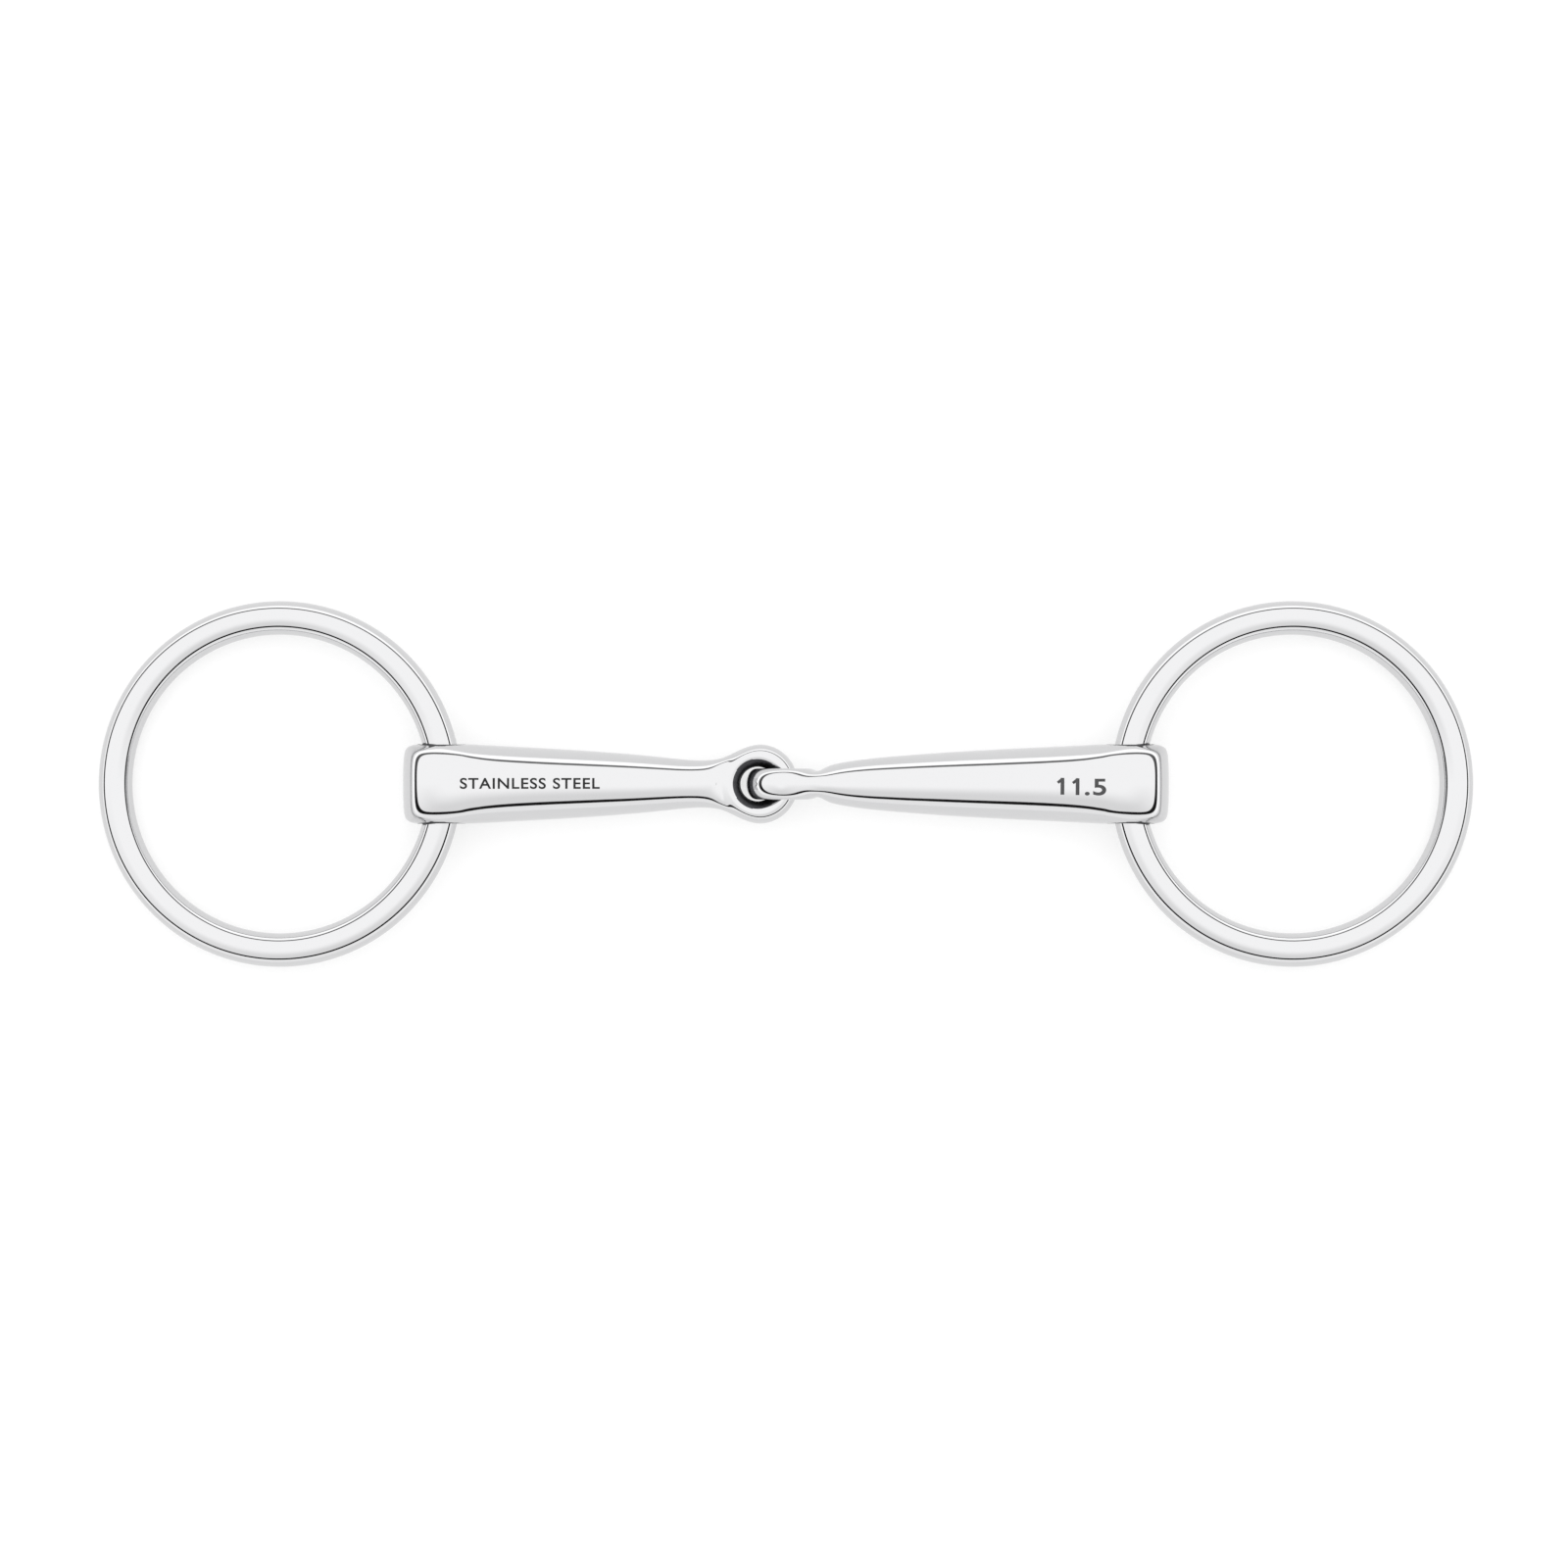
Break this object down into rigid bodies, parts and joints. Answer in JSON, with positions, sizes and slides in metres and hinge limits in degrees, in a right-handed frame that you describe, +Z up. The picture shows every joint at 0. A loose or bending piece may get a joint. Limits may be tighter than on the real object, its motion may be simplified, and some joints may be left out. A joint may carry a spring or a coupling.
{
  "type": "snaffle bit",
  "caption": "Loose-ring snaffle bit: a mouthpiece of tapering halves linked by their eyes, with a round ring turning in the hole at each end.",
  "frame": {"origin": "on the table under the middle of the mouthpiece, half way between the rings", "axes": "+X along the mouthpiece towards the right-hand ring, +Y across it in the plane of the rings, +Z up off the table"},
  "size_m": [0.2448, 0.065, 0.014],
  "materials": {
    "polished_stainless_steel": "mirror polished"
  },
  "bodies": {
    "left_ring": {"left_ring": "polished_stainless_steel"},
    "left_cannon": {"left_cannon": "polished_stainless_steel"},
    "right_cannon": {"right_cannon": "polished_stainless_steel"},
    "right_ring": {"right_ring": "polished_stainless_steel"}
  },
  "joints": [
    {"name": "left_ring_swing", "type": "hinge", "parent": "left_cannon", "child": "left_ring", "pos_m": [-0.06093, 0, 0.007], "axis": [0, 1, 0], "range_deg": [-111, 119]},
    {"name": "mouthpiece_fold", "type": "hinge", "parent": "left_cannon", "child": "right_cannon", "pos_m": [-0.005, 0, 0.007], "axis": [0, 0, 1], "range_deg": [-110, 110]},
    {"name": "right_ring_swing", "type": "hinge", "parent": "right_cannon", "child": "right_ring", "pos_m": [0.06093, 0, 0.007], "axis": [0, -1, 0], "range_deg": [-111, 119]}
  ]
}
